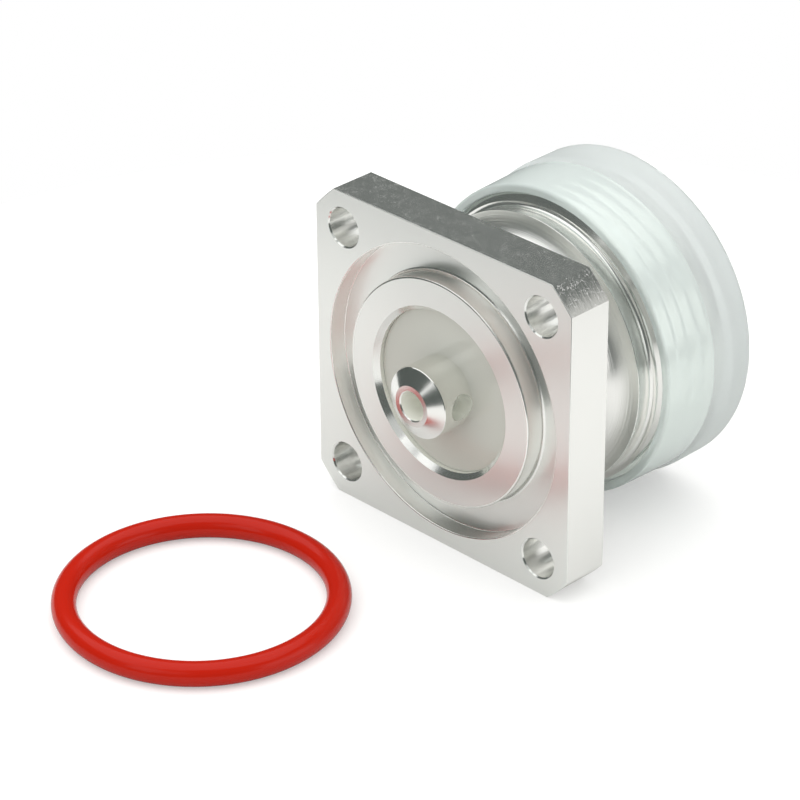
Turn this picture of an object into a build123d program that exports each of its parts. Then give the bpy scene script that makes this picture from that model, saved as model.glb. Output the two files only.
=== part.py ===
"""Coaxial panel connector: square flange, 7/16 line size, screw coupling, with its seal and dust cap.

The connector's axis is Y. The flange's mounting face is the plane Y = 0 and faces -Y, and the mating end
points to +Y. The origin is the centre of that face. Lengths are in millimetres.
"""
from build123d import *
import math
import os

# Coupling thread
thread_diameter = 29.0
thread_length = 9.3
thread_start_chamfer = 0.4
thread_end_chamfer = 0.9
thread_pitch = 1.5
thread_depth = 0.92
thread_crest_flat = 0.19       # widths left flat along the crest and the root
thread_root_flat = 0.3
thread_lead_in = 1.25          # from the barrel's start back to the groove's start, in the open relief
thread_overcut = 0.1           # from the crests out to the cutter's back, less than closes a pitch

# Flange, a square a little wider than the thread
flange_margin = 1.5            # from the thread's crests out to the flange's sides
flange_thickness = 4.8
corner_cut = 1.63              # from each corner of the square in to the turned corner
hole_inset = 3.6               # from the flange's sides in to the holes' centres
hole_diameter = 3.8
edge_break = 0.12              # small chamfer on milled and drilled edges

# Seal groove and contact land on the flange's face
groove_margin = 1.65           # from the flange's sides in to the groove
groove_width = 3.1
groove_depth = 1.8
land_height = 0.28             # the land stands proud of the flange's face

# Line bore, which holds the insulator and the air line, and mating bore
line_bore_diameter = 16.0
line_bore_chamfer = 0.5        # from the land down to the line bore
insulator_recess = 0.65        # from the flange's face down to the insulator
insulator_thickness = 3.5
contact_face_width = 1.1       # ring that the plug's outer contact presses on
mating_bore_depth = 10.2       # from the front rim to the outer contact's face
mating_bore_chamfer = 0.5

# Neck and relief, from the flange to the thread
neck_length = 7.2              # from the flange's back to the sharp edge of the flare
neck_root_radius = 0.4
neck_flare = 2.2               # radius of the flare from the neck out to the relief
relief_depth = 1.1             # from the thread's crests down to the relief
relief_length = 2.0
relief_root_radius = 0.3

# Centre contact: a terminal for the wire and a slotted socket
contact_diameter = 7.0
terminal_projection = 3.7      # from the flange's face out to the terminal's tip
terminal_cone_length = 0.85
terminal_tip_diameter = 4.15
wire_bore_diameter = 2.86
wire_bore_depth = 4.2
wire_bore_chamfer = 0.1
solder_hole_diameter = 2.6
solder_hole_setback = 0.05     # from the insulator's face to the edge of the solder hole
stud_diameter = 5.1
stud_engagement = 2.0          # length of the stud that screws into the socket
socket_recess = 1.8            # from the outer contact's face back to the socket's tip
socket_bore_diameter = 4.0
socket_web = 0.6               # solid metal between the stud's hole and the socket's bore
socket_slot_width = 0.4
socket_slot_count = 4
socket_tip_chamfer = 0.3

# Insulator
insulator_edge_radius = 0.18
seat_clearance = 0.02          # on the radius, between pieces that are pushed or screwed together

# Seal ring, which lies on the surface in front of the flange
seal_section = 2.3
seal_stretch_clearance = 0.05  # on the radius, from the land to the ring
seal_gap_to_flange = 9.6       # free space between the ring and the flange's face
seal_offset_x = -7.4

# Dust cap
cap_clearance = 0.2            # to the thread's crests and to the front rim
cap_rim_wall = 0.65
cap_skirt_wall = 0.85
cap_crown_wall = 1.1
cap_end_wall = 1.8
cap_crown_length = 5.0         # thicker section at the closed end
cap_crown_radius = 0.9
cap_step_length = 0.4
cap_waist_wall = 0.72          # shallow waist between the skirt and the crown
cap_waist_length = 0.5

# Sizes that follow from the ones above
flange_side = thread_diameter + 2 * flange_margin
bar_diameter = flange_side * math.sqrt(2) - 2 * corner_cut
hole_spacing = flange_side - 2 * hole_inset
groove_outer_diameter = flange_side - 2 * groove_margin
land_diameter = groove_outer_diameter - 2 * groove_width
mating_bore_diameter = line_bore_diameter + 2 * contact_face_width
relief_diameter = thread_diameter - 2 * relief_depth
neck_diameter = relief_diameter - 2 * neck_flare

# Places along the axis
neck_end_y = flange_thickness + neck_length
thread_start_y = neck_end_y + relief_length
front_y = thread_start_y + thread_length
contact_face_y = front_y - mating_bore_depth
insulator_rear_y = insulator_recess
insulator_front_y = insulator_rear_y + insulator_thickness
socket_tip_y = contact_face_y - socket_recess
terminal_tip_y = -terminal_projection
floor_z = -flange_side / 2


def turned(profile):
    """Solid of revolution about the Y axis from a closed outline of radius and Y."""
    return revolve(make_face(profile), Axis.Y)


def closed(*points):
    return Polyline(*points, close=True)


def cross_holes(diameter, spacing, depth, start_y):
    """Four holes along Y on a square of the given spacing."""
    holes = []
    for x in (-spacing / 2, spacing / 2):
        for z in (-spacing / 2, spacing / 2):
            place = Pos(x, start_y + depth / 2, z) * Rot(90, 0, 0)
            holes.append(place * Cylinder(diameter / 2, depth))
    return holes


def disc(diameter, start_y, end_y):
    """Plain round slice of the axis from start_y to end_y."""
    length = end_y - start_y
    return Pos(0, start_y + length / 2, 0) * Rot(90, 0, 0) * Cylinder(diameter / 2, length)


def make_flange():
    """Square plate with its corners turned to the bar's diameter, drilled and with broken edges."""
    middle_y = flange_thickness / 2
    plate = Pos(0, middle_y, 0) * Box(flange_side, flange_thickness, flange_side)
    plate &= disc(bar_diameter, 0, flange_thickness)
    for hole in cross_holes(hole_diameter, hole_spacing, flange_thickness, 0):
        plate -= hole
    rims = plate.edges().filter_by(Plane.XZ)
    return chamfer(rims, edge_break)


def make_barrel():
    """Neck, flare, relief and thread barrel, without the bores."""
    neck = neck_diameter / 2
    relief = relief_diameter / 2
    thread = thread_diameter / 2
    root_y = flange_thickness - neck_root_radius
    line = Line((0, root_y), (neck + neck_root_radius, root_y))
    line += Line(line @ 1, (neck + neck_root_radius, flange_thickness))
    line += RadiusArc(line @ 1, (neck, flange_thickness + neck_root_radius), neck_root_radius)
    line += Line(line @ 1, (neck, neck_end_y - neck_flare))
    line += RadiusArc(line @ 1, (relief, neck_end_y), neck_flare)
    line += Line(line @ 1, (relief, thread_start_y - relief_root_radius))
    line += RadiusArc(line @ 1, (relief + relief_root_radius, thread_start_y), relief_root_radius)
    line += Polyline(
        line @ 1,
        (thread - thread_start_chamfer, thread_start_y),
        (thread, thread_start_y + thread_start_chamfer),
        (thread, front_y - thread_end_chamfer),
        (thread - thread_end_chamfer, front_y),
        (0, front_y),
        (0, root_y),
    )
    return turned(line)


def make_thread_turn():
    """One turn of the right-hand thread's groove, about Z and starting at Z = 0."""
    crest = thread_diameter / 2
    root = crest - thread_depth
    back = crest + thread_overcut
    half_root = thread_root_flat / 2
    half_crest = (thread_pitch - thread_crest_flat) / 2
    half_back = half_root + (half_crest - half_root) * (back - root) / thread_depth
    outline = Polyline(
        (root, 0, -half_root),
        (back, 0, -half_back),
        (back, 0, half_back),
        (root, 0, half_root),
        close=True,
    )
    path = Helix(pitch=thread_pitch, height=thread_pitch, radius=root)
    return sweep(make_face(outline), path=path, is_frenet=True)


def cut_thread(barrel):
    """Cuts the thread turn by turn, from the open relief to beyond the front rim."""
    groove = Rot(-90, 0, 0) * make_thread_turn()
    turn_count = math.ceil((thread_lead_in + thread_length) / thread_pitch + 0.5)
    for index in range(turn_count):
        barrel -= Pos(0, thread_start_y - thread_lead_in + index * thread_pitch, 0) * groove
    return barrel


def make_passage():
    """Everything that is bored out along the axis, from the land to the front rim."""
    line_bore = line_bore_diameter / 2
    mouth = line_bore + line_bore_chamfer
    mating_bore = mating_bore_diameter / 2
    return turned(
        closed(
            (0, -land_height - 1),
            (mouth, -land_height - 1),
            (mouth, -land_height),
            (line_bore, line_bore_chamfer - land_height),
            (line_bore, contact_face_y),
            (mating_bore, contact_face_y),
            (mating_bore, front_y - mating_bore_chamfer),
            (mating_bore + mating_bore_chamfer, front_y),
            (mating_bore + mating_bore_chamfer, front_y + 1),
            (0, front_y + 1),
        )
    )


def make_connector_body():
    """Flange, seal groove, contact land and barrel: one turned and milled piece."""
    groove = disc(groove_outer_diameter, -land_height, groove_depth)
    land = disc(land_diameter, -land_height, groove_depth)
    barrel = cut_thread(make_barrel())
    return make_flange() + barrel - groove + land - make_passage()


def make_insulator():
    """Disc that holds the centre contact, clamped between its two halves."""
    outer = line_bore_diameter / 2 - seat_clearance
    inner = stud_diameter / 2 + seat_clearance
    ring = turned(
        closed(
            (inner, insulator_rear_y),
            (outer, insulator_rear_y),
            (outer, insulator_front_y),
            (inner, insulator_front_y),
        )
    )
    rims = ring.edges().filter_by(GeomType.CIRCLE).sort_by(SortBy.RADIUS)[-2:]
    return fillet(rims, insulator_edge_radius)


def make_solder_terminal():
    """Rear half of the contact: coned tip, wire bore, solder hole and the stud through the insulator."""
    body = contact_diameter / 2
    tip = terminal_tip_diameter / 2
    stud = stud_diameter / 2
    bore = wire_bore_diameter / 2
    stud_end_y = insulator_front_y + stud_engagement
    bore_end_y = terminal_tip_y + wire_bore_depth
    terminal = turned(
        closed(
            (0, bore_end_y),
            (bore, bore_end_y),
            (bore, terminal_tip_y + wire_bore_chamfer),
            (bore + wire_bore_chamfer, terminal_tip_y),
            (tip, terminal_tip_y),
            (body, terminal_tip_y + terminal_cone_length),
            (body, insulator_rear_y),
            (stud, insulator_rear_y),
            (stud, stud_end_y),
            (0, stud_end_y),
        )
    )
    hole_y = insulator_rear_y - solder_hole_setback - solder_hole_diameter / 2
    hole = Pos(body / 2, hole_y, 0) * Rot(0, 90, 0) * Cylinder(solder_hole_diameter / 2, body)
    return terminal - hole


def make_socket_contact():
    """Front half of the contact: slotted socket that screws on the stud."""
    body = contact_diameter / 2
    stud_hole = stud_diameter / 2 + seat_clearance
    bore = socket_bore_diameter / 2
    stud_hole_end_y = insulator_front_y + stud_engagement
    bore_start_y = stud_hole_end_y + socket_web
    socket = turned(
        closed(
            (stud_hole, insulator_front_y),
            (body, insulator_front_y),
            (body, socket_tip_y - socket_tip_chamfer),
            (body - socket_tip_chamfer, socket_tip_y),
            (bore, socket_tip_y),
            (bore, bore_start_y),
            (0, bore_start_y),
            (0, stud_hole_end_y),
            (stud_hole, stud_hole_end_y),
        )
    )
    slot_length = socket_tip_y - bore_start_y
    slot_y = bore_start_y + slot_length / 2
    for index in range(socket_slot_count):
        turn = Rot(0, index * 360 / socket_slot_count, 0)
        socket -= turn * Pos(body / 2 + bore / 2, slot_y, 0) * Box(body, slot_length, socket_slot_width)
    return socket


def make_o_ring():
    """Flange seal, lying flat on the surface that the connector rests on."""
    ring_radius = land_diameter / 2 + seal_stretch_clearance + seal_section / 2
    y = -seal_gap_to_flange - seal_section / 2 - ring_radius
    z = floor_z + seal_section / 2
    return Pos(seal_offset_x, y, z) * Torus(ring_radius, seal_section / 2)


def make_dust_cap():
    """Push-on cap: thin skirt over the thread, shallow waist and a thicker crown at the closed end."""
    inner = thread_diameter / 2 + cap_clearance
    inner_end_y = front_y + cap_clearance
    end_y = inner_end_y + cap_end_wall
    crown = inner + cap_crown_wall
    crown_start_y = end_y - cap_crown_length
    waist_y = crown_start_y - cap_step_length
    line = Polyline(
        (0, inner_end_y),
        (inner, inner_end_y),
        (inner, thread_start_y),
        (inner + cap_rim_wall, thread_start_y),
        (inner + cap_skirt_wall, waist_y - cap_waist_length),
        (inner + cap_waist_wall, waist_y),
        (crown, crown_start_y),
        (crown, end_y - cap_crown_radius),
    )
    line += RadiusArc(line @ 1, (crown - cap_crown_radius, end_y), -cap_crown_radius)
    line += Polyline(line @ 1, (0, end_y), (0, inner_end_y))
    return turned(line)


os.makedirs("parts", exist_ok=True)
export_step(make_connector_body(), "parts/connector_body.step")
export_step(make_insulator(), "parts/insulator.step")
export_step(make_solder_terminal(), "parts/solder_terminal.step")
export_step(make_socket_contact(), "parts/socket_contact.step")
export_step(make_o_ring(), "parts/o_ring.step")
export_step(make_dust_cap(), "parts/dust_cap.step")
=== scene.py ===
"""Coaxial panel connector with its face seal and dust cap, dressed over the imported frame.

Shapes are written in millimetres about the connector's axis, which is Y, and go to Blender in metres.
The flange's mounting face is the plane Y = 0 and faces -Y.
"""
import math

import bmesh
import bpy
import numpy as np
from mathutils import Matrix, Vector
from mathutils.geometry import delaunay_2d_cdt


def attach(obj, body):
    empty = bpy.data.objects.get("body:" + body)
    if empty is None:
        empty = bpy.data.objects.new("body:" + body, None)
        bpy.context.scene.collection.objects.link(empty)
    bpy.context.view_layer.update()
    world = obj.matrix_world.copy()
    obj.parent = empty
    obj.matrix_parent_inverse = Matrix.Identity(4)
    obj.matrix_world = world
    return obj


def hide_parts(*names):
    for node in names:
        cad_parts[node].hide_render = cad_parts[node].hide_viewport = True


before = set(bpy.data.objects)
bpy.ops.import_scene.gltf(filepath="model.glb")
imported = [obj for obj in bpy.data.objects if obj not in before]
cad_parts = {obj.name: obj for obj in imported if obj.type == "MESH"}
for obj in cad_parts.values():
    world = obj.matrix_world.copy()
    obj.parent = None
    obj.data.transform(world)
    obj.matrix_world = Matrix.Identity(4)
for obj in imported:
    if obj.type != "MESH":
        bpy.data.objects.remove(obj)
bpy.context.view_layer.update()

MM = 0.001
TURN = 2 * math.pi

# Sizes shared with the solids, in millimetres. Bores and holes are given by their radius.
HALF_SIDE = 16.0
BAR_RADIUS = 20.9975
FLANGE_BACK = 4.8
HOLE_PLACE = 12.4
HOLE_RADIUS = 1.9
GROOVE_RADIUS = 14.35
GROOVE_DEPTH = 1.8
LAND_RADIUS = 11.25
LAND_FACE = -0.28
INSULATOR_REAR = 0.65
INSULATOR_FRONT = 4.15
INSULATOR_HOLE = 2.57
LINE_BORE = 8.0
LINE_BORE_CHAMFER = 0.5
CONTACT_FACE = 13.1
MATING_BORE = 9.1
MATING_CHAMFER = 0.5
FRONT = 23.3
NECK_RADIUS = 11.2
NECK_END = 12.0
NECK_FLARE = 2.2
NECK_ROOT = 0.4
RELIEF_RADIUS = 13.4
THREAD_START = 14.0
THREAD_RADIUS = 14.5
THREAD_PITCH = 1.5
THREAD_DEPTH = 0.92
THREAD_START_CHAMFER = 0.4
THREAD_END_CHAMFER = 0.9
TERMINAL_RADIUS = 3.5
TERMINAL_TIP = -3.7
TERMINAL_CONE_END = -2.85
TIP_RADIUS = 2.075
WIRE_BORE = 1.43
WIRE_BORE_END = 0.5
WIRE_BORE_CHAMFER = 0.1
SOLDER_HOLE = 1.3
SOLDER_HOLE_PLACE = -0.7
STUD_RADIUS = 2.55
STUD_END = 6.15
CAP_CLEARANCE = 0.2
CAP_RIM_WALL = 0.65
CAP_CROWN_WALL = 1.1
CAP_END_WALL = 1.8
CAP_CROWN_LENGTH = 5.0
CAP_CROWN_ROUNDING = 0.9
CAP_STEP_LENGTH = 0.4
SEAL_RADIUS = 12.45
SEAL_SECTION_RADIUS = 1.15
SEAL_X = -7.4
SEAL_Y = -23.2
FLOOR = -16.0

# Small forms that the solids leave out or have a little different, in millimetres
GROOVE_EDGE = 0.1
GROOVE_OUTER_FOOT = 0.08
GROOVE_INNER_FOOT = 0.25
LAND_EDGE = 0.16
FLANGE_EDGE = 0.05
HOLE_BEVEL = 0.13
RELIEF_SLOPE = 0.12
RELIEF_FILLET = 0.42
FLARE_EDGE = 0.04
THREAD_ROOT_SAG = 0.04
INSULATOR_GAP = 0.005
INSULATOR_RIM = 0.05
TERMINAL_EDGE = 0.05
CAP_GRIP = 0.17
CAP_GRIP_LENGTH = 0.6
CAP_LIP = 0.12
CAP_RIM_EDGE = 0.3
CAP_FOOT = 0.4

# Form of the thread's groove, in shares of the pitch
CREST_HALF = 0.0625
FLANK_MIDDLE = 0.23
ROOT_HALF = 0.1

# Points round a ring
BODY_STEPS = 384
CAP_STEPS = 256
TERMINAL_STEPS = 128
HOLE_STEPS = 64

# Points along a rounding
EDGE_STEPS = 3
LIP_STEPS = 4
FOOT_STEPS = 5
RIM_STEPS = 6
FILLET_STEPS = 8
CORNER_STEPS = 10
FLARE_STEPS = 16

# Bends sharper than this show as edges, in degrees
HARD_BEND = 38
SOFT_BEND = 60

# Colours of silver plate and of the cap, and how metallic the plate is
PLATE = (0.96, 0.96, 0.93, 1)
# Painted light: a paler copy of the same silver plate, which makes the turned groove, land wall and relief
# look more brightly lit than the rest
PAINTED_LIGHT_PLATE = (0.98, 0.98, 0.95, 1)
PLATE_METALLIC = 0.92
CAP_WHITE = (0.92, 1.0, 0.97, 1)


class Shell:
    """Points and faces of one closed piece. Each face has a zone, and zones meet in hard edges."""

    def __init__(self, steps):
        self.steps = steps
        self.points = []
        self.faces = []
        self.zones = []

    def point(self, x, y, z):
        """Adds a point and returns its number."""
        self.points.append((x, y, z))
        return len(self.points) - 1

    def point_at(self, step, radius, y):
        """Adds a point at a step round the axis."""
        angle = TURN * step / self.steps
        return self.point(radius * math.cos(angle), y, radius * math.sin(angle))

    def ring(self, radius, y):
        """Closed ring about the axis. radius is one number or one per step."""
        radii = [radius] * self.steps if isinstance(radius, (int, float)) else radius
        return [self.point_at(step, r, y) for step, r in enumerate(radii)]

    def face(self, ids, zone):
        """Adds a face. Points that fall together count once, and fewer than three make no face."""
        unique = list(dict.fromkeys(ids))
        if len(unique) > 2:
            self.faces.append(unique)
            self.zones.append(zone)

    def band(self, first, second, zone):
        """Faces between two loops of equal length. zone is one name or one per face."""
        zones = [zone] * len(first) if isinstance(zone, str) else zone
        for index, name in enumerate(zones):
            after = (index + 1) % len(first)
            self.face([first[index], first[after], second[after], second[index]], name)

    def close(self, ring, y, zone):
        """Closes a ring with a fan to a point on the axis."""
        middle = self.point(0, y, 0)
        count = len(ring)
        for index in range(count):
            self.face([ring[index], ring[(index + 1) % count], middle], zone)

    def lathe(self, profile, last):
        """Bands from the ring last through (radius, y, zone) rows. A band's zone is on the row it ends on."""
        for radius, y, zone in profile:
            ring = self.ring(radius, y)
            self.band(last, ring, zone)
            last = ring
        return last

    def fill(self, outer, holes, zone):
        """Flat face between one outer loop and the loops inside it, in a plane of constant Y."""
        loops = [outer] + holes
        ids = [i for loop in loops for i in loop]
        outlines = [[(self.points[i][0], self.points[i][2]) for i in loop] for loop in loops]
        flat = [Vector(place) for outline in outlines for place in outline]
        edges = []
        start = 0
        for loop in loops:
            count = len(loop)
            edges += [(start + k, start + (k + 1) % count) for k in range(count)]
            start += count
        whole_hull = 0
        same_place = 1e-6
        places, _, triangles, origins, _, _ = delaunay_2d_cdt(flat, edges, [], whole_hull, same_place)
        for triangle in triangles:
            middle = sum((places[k] for k in triangle), Vector((0, 0))) / 3
            if inside(middle, outlines[0]) and not any(inside(middle, o) for o in outlines[1:]):
                self.face([ids[origins[k][0]] for k in triangle], zone)

    def build(self, name, dressing, bend=HARD_BEND):
        """The piece as an object, in metres, with hard edges between zones and at sharp bends.

        dressing is a list of a material and its zones. Zones that it doesn't name get the first material.
        """
        slots = {zone: slot for slot, (_, zones) in enumerate(dressing) for zone in zones}
        names = sorted(set(self.zones))
        mesh = bpy.data.meshes.new(name)
        mesh.from_pydata([tuple(c * MM for c in p) for p in self.points], [], self.faces)
        numbers = [names.index(zone) for zone in self.zones]
        mesh.attributes.new("zone", "INT", "FACE").data.foreach_set("value", numbers)
        grid = bmesh.new()
        grid.from_mesh(mesh)
        bmesh.ops.recalc_face_normals(grid, faces=grid.faces)
        layer = grid.faces.layers.int["zone"]
        for face in grid.faces:
            face.smooth = True
            face.material_index = slots.get(names[face[layer]], 0)
        for edge in grid.edges:
            sides = edge.link_faces
            if len(sides) == 2:
                same_zone = sides[0][layer] == sides[1][layer]
                edge.smooth = same_zone and edge.calc_face_angle(0) < math.radians(bend)
        grid.to_mesh(mesh)
        grid.free()
        mesh.attributes.remove(mesh.attributes["zone"])
        for material, _ in dressing:
            mesh.materials.append(material)
        piece = bpy.data.objects.new(name, mesh)
        bpy.context.scene.collection.objects.link(piece)
        return piece


def inside(place, outline):
    """True if a flat place lies within a closed outline."""
    x, y = place
    found = False
    ax, ay = outline[-1]
    for bx, by in outline:
        if (by > y) != (ay > y) and x < (ax - bx) * (y - by) / (ay - by) + bx:
            found = not found
        ax, ay = bx, by
    return found


def arc(centre_r, centre_y, radius, start, end, steps, zone):
    """Rows of a rounding in the lathe's profile. Angles in degrees, from +radius towards +Y."""
    rows = []
    for index in range(1, steps + 1):
        angle = math.radians(start + (end - start) * index / steps)
        rows.append((centre_r + radius * math.cos(angle), centre_y + radius * math.sin(angle), zone))
    return rows


def thread_radius(phase):
    """Radius of the coupling thread at a phase along its pitch. The root sags a little at its middle."""
    phases = [0, CREST_HALF, 0.5 - ROOT_HALF, 0.5, 0.5 + ROOT_HALF, 1 - CREST_HALF, 1]
    root_edge = THREAD_DEPTH - THREAD_ROOT_SAG
    depths = [0, 0, root_edge, THREAD_DEPTH, root_edge, 0, 0]
    return THREAD_RADIUS - float(np.interp(phase % 1, phases, depths))


def add_thread(shell):
    """Right-hand thread between its two end rings, which it returns. Its rows follow the helix."""
    steps = shell.steps
    marks = [-CREST_HALF, CREST_HALF, FLANK_MIDDLE, 0.5 - ROOT_HALF, 0.5, 0.5 + ROOT_HALF, 1 - FLANK_MIDDLE]
    per_pitch = len(marks)
    first_pitch = int(THREAD_START / THREAD_PITCH) - 1
    spare_pitches = 5
    least_gap = 0.02
    made = {}

    def limited(y, column):
        """Radius within the thread's form and the chamfers at both its ends."""
        phase = y / THREAD_PITCH + column / steps
        at_start = THREAD_RADIUS - THREAD_START_CHAMFER + (y - THREAD_START)
        at_end = THREAD_RADIUS - THREAD_END_CHAMFER + (FRONT - y)
        return min(thread_radius(phase), at_start, at_end)

    start = shell.ring([limited(THREAD_START, k) for k in range(steps)], THREAD_START)
    end = shell.ring([limited(FRONT, k) for k in range(steps)], FRONT)

    def row_point(row, column):
        """Point of a row, or that of the end ring which the row comes close to or passes."""
        pitch, mark = divmod(row, per_pitch)
        along = (first_pitch + pitch + marks[mark]) * THREAD_PITCH
        y = along - THREAD_PITCH * column / steps
        if y <= THREAD_START + least_gap:
            return start[column]
        if y >= FRONT - least_gap:
            return end[column]
        if (row, column) not in made:
            made[row, column] = shell.point_at(column, limited(y, column), y)
        return made[row, column]

    rows = int((FRONT - THREAD_START) / THREAD_PITCH + spare_pitches) * per_pitch
    for column in range(steps):
        after = (column + 1) % steps
        shift = -per_pitch if after == 0 else 0
        for row in range(per_pitch, rows):
            here = [row_point(row, column), row_point(row + 1, column)]
            there = [row_point(row + 1 + shift, after), row_point(row + shift, after)]
            shell.face(here + there, "thread")
    return start, end


def bore_rows():
    """Rows from the groove's edge over the land and through the bores to the front rim."""
    outer_foot = GROOVE_OUTER_FOOT
    inner_foot = GROOVE_INNER_FOOT
    foot_r = GROOVE_RADIUS - outer_foot
    foot_y = GROOVE_DEPTH - outer_foot
    land_r = LAND_RADIUS + inner_foot
    rows = arc(GROOVE_RADIUS + GROOVE_EDGE, GROOVE_EDGE, GROOVE_EDGE, 270, 180, EDGE_STEPS, "groove edge")
    rows += [(GROOVE_RADIUS, foot_y, "groove outer wall")]
    rows += arc(foot_r, foot_y, outer_foot, 0, 90, EDGE_STEPS, "groove outer foot")
    rows += [(land_r, GROOVE_DEPTH, "groove floor")]
    rows += arc(land_r, GROOVE_DEPTH - inner_foot, inner_foot, 90, 180, EDGE_STEPS, "groove inner foot")
    rows += [(LAND_RADIUS, LAND_FACE + LAND_EDGE, "land wall")]
    rows += arc(LAND_RADIUS - LAND_EDGE, LAND_FACE + LAND_EDGE, LAND_EDGE, 0, -90, LIP_STEPS, "land edge")
    return rows + [
        (LINE_BORE + LINE_BORE_CHAMFER, LAND_FACE, "land"),
        (LINE_BORE, LAND_FACE + LINE_BORE_CHAMFER, "bore chamfer"),
        (LINE_BORE, INSULATOR_REAR, "bore mouth"),
        (LINE_BORE, CONTACT_FACE, "line bore"),
        (MATING_BORE, CONTACT_FACE, "contact face"),
        (MATING_BORE, FRONT - MATING_CHAMFER, "mating bore"),
        (MATING_BORE + MATING_CHAMFER, FRONT, "mating chamfer"),
    ]


def neck_rows():
    """Rows from the thread's start over the relief and the flared neck to the flange's back."""
    fillet_r = RELIEF_RADIUS - RELIEF_SLOPE + RELIEF_FILLET
    relief_end = RELIEF_RADIUS + RELIEF_SLOPE
    flare_start_angle = 94
    rows = [(fillet_r, THREAD_START, "thread shoulder")]
    rows += arc(fillet_r, THREAD_START - RELIEF_FILLET, RELIEF_FILLET, 90, 180, FILLET_STEPS, "relief fillet")
    rows += [(relief_end, NECK_END + FLARE_EDGE, "relief"), (relief_end - FLARE_EDGE, NECK_END, "flare edge")]
    rows += arc(RELIEF_RADIUS, NECK_END - NECK_FLARE, NECK_FLARE, flare_start_angle, 180, FLARE_STEPS, "neck")
    root_y = FLANGE_BACK + NECK_ROOT
    rows += [(NECK_RADIUS, root_y, "neck")]
    return rows + arc(NECK_RADIUS + NECK_ROOT, root_y, NECK_ROOT, 180, 270, LIP_STEPS, "neck")


def flange_outline(inset):
    """Square with corners turned to the bar's diameter, moved in by the inset."""
    side = HALF_SIDE - inset
    radius = BAR_RADIUS - inset
    start = math.acos(side / radius)
    places = []
    for quarter in range(4):
        for index in range(CORNER_STEPS + 1):
            angle = start + (math.pi / 2 - 2 * start) * index / CORNER_STEPS + quarter * math.pi / 2
            places.append((radius * math.cos(angle), radius * math.sin(angle)))
    return places


def add_flange_sides(shell):
    """Sides and corners with rounded edges. Returns their outlines on the flange's front and back."""
    levels = []
    for step in range(EDGE_STEPS + 1):
        angle = math.pi / 2 * step / EDGE_STEPS
        levels.append((FLANGE_EDGE * (1 - math.sin(angle)), FLANGE_EDGE * (1 - math.cos(angle))))
    levels += [(inset, FLANGE_BACK - depth) for inset, depth in reversed(levels)]
    rings = [[shell.point(x, depth, z) for x, z in flange_outline(inset)] for inset, depth in levels]
    walls = []
    for quarter in range(4):
        walls += [f"corner {quarter}"] * CORNER_STEPS + [f"side {quarter}"]
    zones = ["flange front edge"] * EDGE_STEPS + [walls] + ["flange back edge"] * EDGE_STEPS
    for level, zone in enumerate(zones):
        shell.band(rings[level], rings[level + 1], zone)
    return rings[0], rings[-1]


def add_hole(shell, place_x, place_z):
    """Bevelled wall of a panel hole. Returns its loops on the flange's front and back."""
    profile = [
        (HOLE_RADIUS + HOLE_BEVEL, 0, None),
        (HOLE_RADIUS, HOLE_BEVEL, "hole front edge"),
        (HOLE_RADIUS, FLANGE_BACK - HOLE_BEVEL, "hole"),
        (HOLE_RADIUS + HOLE_BEVEL, FLANGE_BACK, "hole back edge"),
    ]
    loops = []
    for radius, depth, zone in profile:
        loop = []
        for index in range(HOLE_STEPS):
            angle = TURN * index / HOLE_STEPS
            x = place_x + radius * math.cos(angle)
            z = place_z + radius * math.sin(angle)
            loop.append(shell.point(x, depth, z))
        if loops:
            shell.band(loops[-1], loop, zone)
        loops.append(loop)
    return loops[0], loops[-1]


def make_body(dressing):
    """Flange, seal groove, land, bores, neck and thread as one closed piece."""
    shell = Shell(BODY_STEPS)
    groove_ring = shell.ring(GROOVE_RADIUS + GROOVE_EDGE, 0)
    bore_end = shell.lathe(bore_rows(), groove_ring)
    thread_start, thread_end = add_thread(shell)
    shell.band(bore_end, thread_end, "front rim")
    neck_ring = shell.lathe(neck_rows(), thread_start)
    front, back = add_flange_sides(shell)
    front_loops = [groove_ring]
    back_loops = [neck_ring]
    for side_x, side_z in [(-1, -1), (1, -1), (1, 1), (-1, 1)]:
        front_loop, back_loop = add_hole(shell, side_x * HOLE_PLACE, side_z * HOLE_PLACE)
        front_loops.append(front_loop)
        back_loops.append(back_loop)
    shell.fill(front, front_loops, "flange front")
    shell.fill(back, back_loops, "flange back")
    return shell.build("body_shell", dressing)


def make_insulator(dressing):
    """Disc round the contact's stud, with a rounded outer rim."""
    shell = Shell(BODY_STEPS)
    outer = LINE_BORE - INSULATOR_GAP
    rim = INSULATOR_RIM
    rows = [(outer - rim, INSULATOR_REAR, "rear")]
    rows += arc(outer - rim, INSULATOR_REAR + rim, rim, 270, 360, LIP_STEPS, "rear rim")
    rows += [(outer, INSULATOR_FRONT - rim, "wall")]
    rows += arc(outer - rim, INSULATOR_FRONT - rim, rim, 0, 90, LIP_STEPS, "front rim")
    rows += [(INSULATOR_HOLE, INSULATOR_FRONT, "front")]
    first = shell.ring(INSULATOR_HOLE, INSULATOR_REAR)
    shell.band(shell.lathe(rows, first), first, "hole")
    return shell.build("insulator_disc", dressing)


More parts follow.
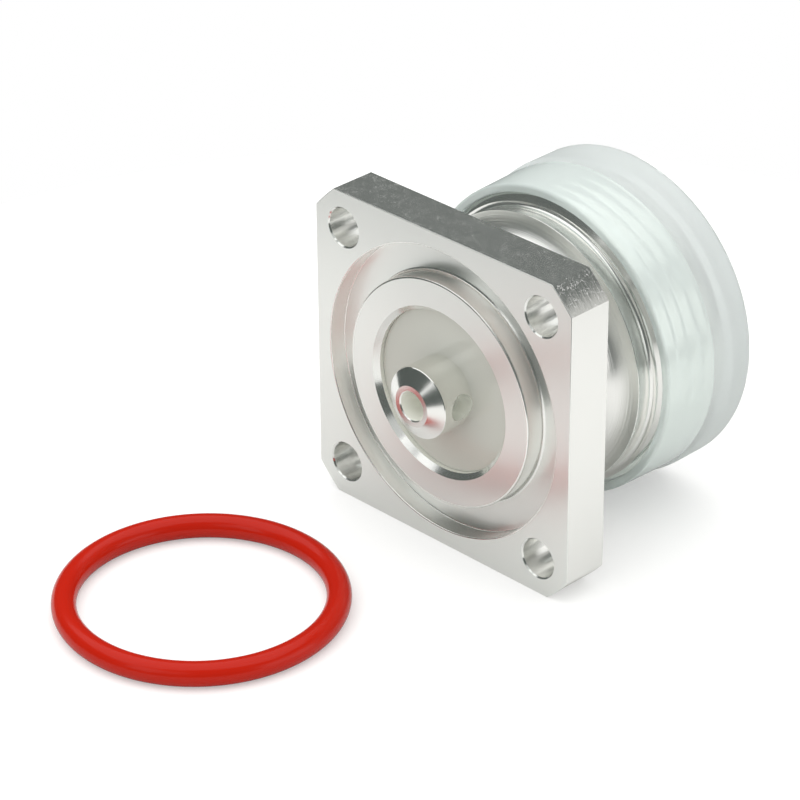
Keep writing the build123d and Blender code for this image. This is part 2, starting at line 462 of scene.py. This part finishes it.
def make_dust_cap(dressing):
    """Thin skirt over the thread, shallow waist and thicker crown with a rounded rim."""
    inner = THREAD_RADIUS + CAP_CLEARANCE
    inner_end = FRONT + CAP_CLEARANCE
    end = inner_end + CAP_END_WALL
    crown = inner + CAP_CROWN_WALL
    crown_start = end - CAP_CROWN_LENGTH
    waist = crown_start - CAP_STEP_LENGTH
    grip = inner - CAP_GRIP
    grip_end = THREAD_START + CAP_LIP + 0.15
    rim = inner + CAP_RIM_WALL - CAP_RIM_EDGE
    centre_share = 0.6
    # Thickness of the wall, and inset of the crown, at places along the axis
    skirt_walls = [
        (0.70, 15.6),
        (0.76, 17.4),
        (0.82, 19.0),
        (0.82, waist - 0.3),
        (0.80, waist),
        (0.83, waist + 0.2),
    ]
    crown_insets = [
        (0.18, crown_start),
        (0.08, crown_start + 0.25),
        (0.02, crown_start + 0.5),
        (0, crown_start + 0.8),
        (0, end - 2.6),
        (0, end - 0.95),
    ]
    rows = [(inner - CAP_FOOT, inner_end, "inner end")]
    rows += arc(inner - CAP_FOOT, inner_end - CAP_FOOT, CAP_FOOT, 90, 0, FOOT_STEPS, "inner wall")
    rows += [(inner, THREAD_START + CAP_GRIP_LENGTH, "inner wall"), (grip, grip_end, "inner wall")]
    rows += arc(grip + CAP_LIP, THREAD_START + CAP_LIP, CAP_LIP, 180, 270, EDGE_STEPS, "rim")
    rows += [(rim, THREAD_START, "rim")]
    rows += arc(rim, THREAD_START + CAP_RIM_EDGE, CAP_RIM_EDGE, 270, 360, RIM_STEPS, "rim")
    rows += [(inner + wall, y, "outer wall") for wall, y in skirt_walls]
    rows += [(crown - inset, y, "crown") for inset, y in crown_insets]
    rounding = CAP_CROWN_ROUNDING
    rows += arc(crown - rounding, end - rounding, rounding, 0, 90, CORNER_STEPS, "crown")
    rows += [(crown * centre_share, end, "end")]
    shell = Shell(CAP_STEPS)
    first = shell.ring(inner * centre_share, inner_end)
    shell.close(first, inner_end, "inner end")
    shell.close(shell.lathe(rows, first), end, "end")
    return shell.build("cap_shell", dressing, SOFT_BEND)


def make_seal(dressing):
    """Ring lying on the floor in front of the flange."""
    shell = Shell(CAP_STEPS)
    across = 40
    rings = []
    for row in range(across):
        tilt = TURN * row / across
        radius = SEAL_RADIUS + SEAL_SECTION_RADIUS * math.cos(tilt)
        height = FLOOR + SEAL_SECTION_RADIUS + SEAL_SECTION_RADIUS * math.sin(tilt)
        ring = []
        for step in range(shell.steps):
            angle = TURN * step / shell.steps
            x = SEAL_X + radius * math.cos(angle)
            y = SEAL_Y + radius * math.sin(angle)
            ring.append(shell.point(x, y, height))
        rings.append(ring)
    for row in range(across):
        shell.band(rings[row], rings[(row + 1) % across], "ring")
    return shell.build("seal_ring", dressing)


def drill(piece, radius, depth, place, axis):
    """Cuts a round hole with Blender's exact boolean."""
    bpy.ops.mesh.primitive_cylinder_add(
        vertices=HOLE_STEPS, radius=radius * MM, depth=depth * MM, location=[c * MM for c in place]
    )
    tool = bpy.context.object
    tool.rotation_euler = Vector((0, 0, 1)).rotation_difference(Vector(axis)).to_euler()
    cut = piece.modifiers.new("hole", "BOOLEAN")
    cut.operation = "DIFFERENCE"
    cut.solver = "EXACT"
    cut.object = tool
    bpy.context.view_layer.update()
    made = bpy.data.meshes.new_from_object(piece.evaluated_get(bpy.context.evaluated_depsgraph_get()))
    piece.modifiers.clear()
    old = piece.data
    piece.data = made
    bpy.data.meshes.remove(old)
    bpy.data.objects.remove(tool)


def make_terminal(dressing):
    """Coned solder end with its blind wire bore, solder hole and the stud that goes through the insulator."""
    shell = Shell(TERMINAL_STEPS)
    edge = TERMINAL_EDGE
    tip_run, tip_rise = 0.6, 0.9
    cone_run, cone_rise = 0.9, 0.55
    side_start = TERMINAL_CONE_END + edge
    side_rows = 14
    rows = [
        (WIRE_BORE, TERMINAL_TIP + WIRE_BORE_CHAMFER, "wire bore"),
        (WIRE_BORE + WIRE_BORE_CHAMFER, TERMINAL_TIP, "bore edge"),
        (TIP_RADIUS - edge, TERMINAL_TIP, "tip"),
        (TIP_RADIUS + edge * tip_run, TERMINAL_TIP + edge * tip_rise, "tip edge"),
        (TERMINAL_RADIUS - edge * cone_run, TERMINAL_CONE_END - edge * cone_rise, "cone"),
        (TERMINAL_RADIUS, side_start, "cone edge"),
    ]
    for row in range(1, side_rows + 1):
        along = (INSULATOR_REAR - TERMINAL_CONE_END - edge) * row / side_rows
        rows.append((TERMINAL_RADIUS, side_start + along, "side"))
    rows += [(STUD_RADIUS, INSULATOR_REAR, "shoulder"), (STUD_RADIUS, STUD_END, "stud")]
    first = shell.ring(WIRE_BORE, WIRE_BORE_END)
    shell.close(first, WIRE_BORE_END, "bore end")
    shell.close(shell.lathe(rows, first), STUD_END, "stud end")
    piece = shell.build("terminal", dressing)

    drill(piece, SOLDER_HOLE, TERMINAL_RADIUS, (TERMINAL_RADIUS, SOLDER_HOLE_PLACE, 0), (1, 0, 0))
    # The drilled wall has no zone, so it is told by its place
    slot = next(slot for slot, (_, zones) in enumerate(dressing) if "solder hole" in zones)
    least_x = 0.2
    tolerance = 0.01
    for face in piece.data.polygons:
        places = [piece.data.vertices[v].co / MM for v in face.vertices]
        from_hole = [abs(math.hypot(p.y - SOLDER_HOLE_PLACE, p.z) - SOLDER_HOLE) for p in places]
        if max(from_hole) < tolerance and min(p.x for p in places) > least_x:
            face.material_index = slot
    return piece


def new_node(tree, kind, inputs=None, **settings):
    """Adds a node. inputs has a value or another node's output under an input's name or number."""
    made = tree.nodes.new("ShaderNode" + kind)
    for name, value in settings.items():
        setattr(made, name, value)
    for label, value in (inputs or {}).items():
        if isinstance(value, bpy.types.NodeSocket):
            tree.links.new(value, made.inputs[label])
        else:
            made.inputs[label].default_value = value
    return made


def calculate(tree, operation, *values):
    """Result of a Math node on numbers or other nodes' outputs."""
    return new_node(tree, "Math", dict(enumerate(values)), operation=operation).outputs[0]


def ramp(tree, value, start, end, low=0.0, high=1.0, form="LINEAR"):
    """Number that goes from low to high as the value goes from start to end."""
    inputs = {"Value": value, "From Min": start, "From Max": end, "To Min": low, "To Max": high}
    return new_node(tree, "MapRange", inputs, interpolation_type=form).outputs[0]


def new_material(name, inputs):
    """Material with its shader's inputs given by name."""
    material = bpy.data.materials.new(name)
    material.use_nodes = True
    tree = material.node_tree
    shader = next(n for n in tree.nodes if n.type == "BSDF_PRINCIPLED")
    for label, value in inputs.items():
        shader.inputs[label].default_value = value
    return material, tree, shader


def object_place(tree):
    """Place on the piece in millimetres."""
    place = new_node(tree, "TexCoord").outputs["Object"]
    return new_node(tree, "VectorMath", {0: place, "Scale": 1 / MM}, operation="SCALE").outputs[0]


def add_bump(tree, shader, height, depth):
    """Raises the surface by height times depth, which is in millimetres."""
    bump = new_node(tree, "Bump", {"Height": height, "Distance": depth * MM})
    tree.links.new(bump.outputs[0], shader.inputs["Normal"])


def turning_marks(tree, shader, depth):
    """Fine rings round the axis, as the lathe's tool leaves them."""
    per_mm = 5.0
    split = new_node(tree, "SeparateXYZ", {0: object_place(tree)}).outputs
    flat = new_node(tree, "CombineXYZ", {"X": split["X"], "Y": split["Z"]}).outputs[0]
    radius = new_node(tree, "VectorMath", {0: flat}, operation="LENGTH").outputs["Value"]
    along = calculate(tree, "ADD", radius, split["Y"])
    rings = new_node(tree, "TexNoise", {"Scale": per_mm, "Detail": 2.0}, noise_dimensions="1D")
    tree.links.new(along, rings.inputs["W"])
    add_bump(tree, shader, rings.outputs[0], depth)


def milling_marks(tree, shader, depth, size):
    """Fine grain of a milled surface. size is that of one mark along each axis, in millimetres."""
    place = new_node(tree, "VectorMath", {0: object_place(tree), 1: size}, operation="DIVIDE").outputs[0]
    grain = new_node(tree, "TexNoise", {"Vector": place, "Scale": 1.0, "Detail": 2.0, "Roughness": 0.6})
    add_bump(tree, shader, grain.outputs[0], depth)


def specks(tree, shader, metallic, size, patch, first, full):
    """Pale specks of scuffed plate, gathered in patches. Both sizes are in millimetres.

    The plate fades from metallic to dull as the pattern goes from first to full.
    """
    patch_share = 0.35
    dull = 0.35
    place = object_place(tree)
    small = new_node(tree, "TexNoise", {"Vector": place, "Scale": 1 / size, "Detail": 1.0, "Roughness": 0.5})
    large = new_node(tree, "TexNoise", {"Vector": place, "Scale": 1 / patch, "Detail": 1.0})
    pattern = calculate(tree, "MULTIPLY_ADD", large.outputs[0], patch_share, small.outputs[0])
    tree.links.new(ramp(tree, pattern, first, full, metallic, dull), shader.inputs["Metallic"])


def silver(name, roughness, tint, metallic=PLATE_METALLIC, turned=None, milled=None, scuffed=None):
    """Silver plate. turned is the depth of turning marks. milled and scuffed hold those marks' values."""
    values = {"Base Color": tint, "Metallic": metallic, "Roughness": roughness}
    material, tree, shader = new_material(name, values)
    if turned:
        turning_marks(tree, shader, turned)
    if milled:
        milling_marks(tree, shader, **milled)
    if scuffed:
        specks(tree, shader, metallic, **scuffed)
    return material


def brushed_silver(name, roughness, tint):
    """Glossy silver plate over turned metal, which spreads light across its marks round the axis."""
    coat = {"Coat Weight": 0.8, "Coat Roughness": 0.16, "Coat IOR": 2.2}
    brushing = {"Anisotropic": 0.5, "Anisotropic Rotation": 0.25}
    plate = {"Base Color": tint, "Metallic": PLATE_METALLIC, "Roughness": roughness}
    material, tree, shader = new_material(name, {**plate, **brushing, **coat})
    around = new_node(tree, "Tangent", direction_type="RADIAL", axis="Y")
    tree.links.new(around.outputs[0], shader.inputs["Tangent"])
    return material


def translucent(name, colour, clear, roughness):
    """Milky plastic. clear is the share of light that goes straight through the surface."""
    values = {"Base Color": colour, "Roughness": roughness, "Transmission Weight": clear, "IOR": 1.2}
    return new_material(name, values)[0]


def direction(azimuth, elevation):
    """Unit vector. Azimuth in degrees from +Y towards +X, elevation up from the floor."""
    a, e = math.radians(azimuth), math.radians(elevation)
    return Vector((math.sin(a) * math.cos(e), math.cos(a) * math.cos(e), math.sin(e)))


def area_lamp(name, width, height, radiance):
    """Rectangular lamp, sized in metres. radiance is what a mirror shows of it, 1 being white."""
    lamp = bpy.data.lights.new(name, "AREA")
    lamp.shape = "RECTANGLE"
    lamp.size = width
    lamp.size_y = height
    lamp.energy = radiance * math.pi * width * height
    holder = bpy.data.objects.new(name, lamp)
    bpy.context.scene.collection.objects.link(holder)
    return holder


def soft_box(name, azimuth, elevation, distance, width, height, radiance):
    """Lamp that faces the object from a direction, in degrees, and a distance, in metres."""
    holder = area_lamp(name, width, height, radiance)
    toward = direction(azimuth, elevation)
    holder.location = toward * distance
    holder.rotation_euler = toward.to_track_quat("Z", "Y").to_euler()


def add_light():
    """A wide lamp level above the object, two windows in front on the left and a low box on the right."""
    toward_camera = Vector((0.711, -0.703, 0))
    right_hand = Vector((0.703, 0.711, 0))
    height = 0.5
    # Edges of the lamp above, in shares of its height, towards the camera and to its right
    near, far, left, right = 0.55, -1.05, -1.2, 0.88
    over = area_lamp("over", (right - left) * height, (near - far) * height, radiance=1.05)
    middle = toward_camera * (near + far) / 2 + right_hand * (left + right) / 2
    over.location = (middle + Vector((0, 0, 1))) * height
    over.rotation_euler = (0, 0, math.atan2(right_hand.y, right_hand.x))
    soft_box("window", azimuth=179, elevation=29, distance=0.6, width=0.2, height=0.34, radiance=1.0)
    soft_box("window side", azimuth=158, elevation=32, distance=0.62, width=0.19, height=0.27, radiance=0.5)
    soft_box("right", azimuth=70, elevation=8, distance=0.6, width=0.5, height=0.3, radiance=1.0)


def add_world():
    """White to the camera and through the clear cap. Metal sees a dark room with a grey wall on the right."""
    world = bpy.data.worlds.new("studio")
    world.use_nodes = True
    tree = world.node_tree
    tree.nodes.clear()

    def background(colour, strength):
        return new_node(tree, "Background", {"Color": (*colour, 1), "Strength": strength}).outputs[0]

    def mix(share, first, second):
        return new_node(tree, "MixShader", {0: share, 1: first, 2: second}).outputs[0]

    path = new_node(tree, "LightPath").outputs
    place = new_node(tree, "TexCoord").outputs["Generated"]
    height = new_node(tree, "SeparateXYZ", {0: place}).outputs["Z"]
    wall_middle = direction(48, 15)
    near = new_node(tree, "VectorMath", {0: place, 1: wall_middle}, operation="DOT_PRODUCT").outputs["Value"]
    wall_width = ramp(tree, near, start=0.55, end=0.9, form="SMOOTHSTEP")
    wall_top = ramp(tree, height, start=0.59, end=0.53)
    wall_strength = ramp(tree, height, start=0, end=0.65, low=0.34, high=0.6)
    wall_share = calculate(tree, "MULTIPLY", wall_width, wall_top)

    white = background((1, 1, 1), strength=1.0)
    fill = background((1, 1, 1), strength=0.9)
    room = background((0.85, 1.0, 0.93), strength=0.085)
    wall = background((1, 1, 0.97), strength=wall_strength)
    mirrored = mix(wall_share, room, wall)
    not_diffuse = calculate(tree, "SUBTRACT", 1.0, path["Is Diffuse Ray"])
    lit = mix(not_diffuse, fill, mirrored)
    before_mirror = calculate(tree, "LESS_THAN", path["Glossy Depth"], 0.5)
    through_cap = calculate(tree, "MULTIPLY", before_mirror, path["Is Transmission Ray"])
    seen = mix(path["Is Camera Ray"], mix(through_cap, lit, white), white)
    new_node(tree, "OutputWorld", {"Surface": seen})
    bpy.context.scene.world = world


def add_floor():
    """White sheet that ends a little beyond the object, as metal near the horizon shows the dark room."""
    radius = 86.0
    gap = 0.02
    glow = 0.36
    glossy_share = 0.15
    bpy.ops.mesh.primitive_circle_add(
        vertices=96, radius=radius * MM, fill_type="NGON", location=(0, 0, (FLOOR - gap) * MM)
    )
    floor = bpy.context.object
    floor.name = "floor"
    material, tree, shader = new_material(
        "floor", {"Base Color": (0.66, 0.66, 0.65, 1), "Roughness": 0.9, "Specular IOR Level": 0.0}
    )
    path = new_node(tree, "LightPath").outputs
    direct = calculate(tree, "ADD", path["Is Camera Ray"], path["Is Transmission Ray"])
    seen = calculate(tree, "MULTIPLY_ADD", path["Is Glossy Ray"], glossy_share, direct)
    strength = calculate(tree, "MULTIPLY", seen, glow)
    light = new_node(tree, "Emission", {"Color": (1, 1, 1, 1), "Strength": strength})
    both = new_node(tree, "AddShader", {0: shader.outputs[0], 1: light.outputs[0]})
    out = next(n for n in tree.nodes if n.type == "OUTPUT_MATERIAL")
    tree.links.new(both.outputs[0], out.inputs["Surface"])
    floor.data.materials.append(material)


def add_camera():
    """Camera fitted to the flange's edges, holes and circles in the photo."""
    data = bpy.data.cameras.new("camera")
    data.sensor_width = 36
    data.lens = 161.7684
    data.clip_end = 10
    camera = bpy.data.objects.new("camera", data)
    bpy.context.scene.collection.objects.link(camera)
    camera.location = Vector((200.5186, -203.2165, 160.1548)) * MM
    camera.rotation_euler = [math.radians(a) for a in (60.5893, 0.3507, 45.1519)]
    bpy.context.scene.camera = camera


face_metal = brushed_silver("silver_face", roughness=0.38, tint=(0.90, 0.915, 0.88, 1))
side_metal = silver(
    "silver_side", roughness=0.22, tint=PLATE,
    milled={"depth": 0.022, "size": (0.9, 0.45, 0.9)},
    scuffed={"size": 0.15, "patch": 1.2, "first": 0.745, "full": 1.35},
)
corner_metal = silver(
    "silver_corner", roughness=0.15, tint=PLATE,
    milled={"depth": 0.01, "size": (3.0, 0.35, 3.0)},
    scuffed={"size": 0.16, "patch": 1.0, "first": 0.72, "full": 1.1},
)
hole_metal = silver(
    "silver_hole", roughness=0.26, tint=PLATE, milled={"depth": 0.02, "size": (0.5, 5.0, 0.5)}
)
plain_metal = silver("silver_plain", roughness=0.24, tint=PLATE)
thread_metal = silver("silver_thread", roughness=0.18, tint=PLATE)
neck_metal = silver("silver_neck", roughness=0.28, tint=PLATE, turned=0.03)
# Painted light: the groove, land wall and relief get the paler copy of the plate
turned_metal = silver("silver_turned", roughness=0.18, tint=PAINTED_LIGHT_PLATE, turned=0.015)
relief_metal = silver("silver_relief", roughness=0.2, tint=PAINTED_LIGHT_PLATE)
bright_metal = silver("silver_bright", roughness=0.15, tint=(0.92, 0.925, 0.895, 1))
mouth_metal = silver("silver_mouth", roughness=0.5, tint=(0.93, 0.94, 0.87, 1), metallic=0.4)
contact_metal = silver("silver_contact", roughness=0.18, tint=PLATE, metallic=0.97)
cavity_metal = silver("silver_cavity", roughness=0.5, tint=(0.97, 0.98, 0.91, 1), metallic=0.15)
solder_metal = silver("silver_solder_hole", roughness=0.3, tint=(0.95, 0.96, 0.90, 1), metallic=0.5)
# Painted shade: the tip face gets a darker copy of the contact's plate, which dims what it reflects
shaded_tip_metal = silver("silver_tip_painted_shade", roughness=0.16, tint=(0.80, 0.82, 0.79, 1))
insulator_plastic = new_material(
    "insulator_plastic", {"Base Color": (0.54, 0.545, 0.49, 1), "Roughness": 0.12}
)[0]
red_rubber = new_material(
    "red_rubber", {"Base Color": (0.46, 0.010, 0.001, 1), "Roughness": 0.2, "Specular IOR Level": 0.24}
)[0]
skirt_plastic = translucent("cap_skirt", CAP_WHITE, clear=0.45, roughness=0.18)
# Painted shade: the crown gets a greyer copy of the cap's plastic than the skirt and rim, so its lamp-facing
# top looks no brighter than the skirt
shaded_crown_plastic = translucent("cap_crown_painted_shade", (0.775, 0.82, 0.805, 1), clear=0.4, roughness=0.35)
rim_plastic = translucent("cap_rim", CAP_WHITE, clear=0.5, roughness=0.25)
inner_plastic = translucent("cap_inner", (0.99, 1.0, 0.995, 1), clear=0.96, roughness=0.15)

GROOVE_ZONES = [
    "groove edge", "groove outer wall", "groove outer foot", "groove inner foot", "land wall", "land edge",
]
PLAIN_SIDES = ["side 1", "side 2", "side 3", "corner 1", "corner 2", "corner 3"]
body = make_body([
    (face_metal, []),
    (side_metal, ["side 0"]),
    (thread_metal, ["thread"]),
    (turned_metal, GROOVE_ZONES),
    (hole_metal, ["hole"]),
    (bright_metal, ["bore chamfer", "hole front edge"]),
    (corner_metal, ["corner 0"]),
    (neck_metal, ["neck"]),
    (plain_metal, PLAIN_SIDES),
    (mouth_metal, ["bore mouth"]),
    (relief_metal, ["relief", "relief fillet", "thread shoulder", "flare edge"]),
])
insulator = make_insulator([(insulator_plastic, [])])
terminal = make_terminal([
    (contact_metal, []),
    (cavity_metal, ["wire bore", "bore end"]),
    (solder_metal, ["solder hole"]),
    (shaded_tip_metal, ["tip"]),
])
seal = make_seal([(red_rubber, [])])
cap = make_dust_cap([
    (skirt_plastic, []),
    (shaded_crown_plastic, ["crown", "end"]),
    (rim_plastic, ["rim"]),
    (inner_plastic, ["inner wall", "inner end"]),
])

for piece, node, rides_on, slot in (
    (body, "connector_body", "connector", "silver_plate"),
    (insulator, "insulator", "connector", "insulator_plastic"),
    (terminal, "solder_terminal", "connector", "contact_plate"),
    (seal, "o_ring", "connector", "seal_rubber"),
    (cap, "dust_cap", "cap", "cap_plastic"),
):
    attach(piece, rides_on)
    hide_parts(node)

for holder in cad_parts["socket_contact"].material_slots:
    holder.material = contact_metal

add_light()
add_world()
add_floor()
add_camera()
bpy.context.scene.view_settings.view_transform = "Standard"
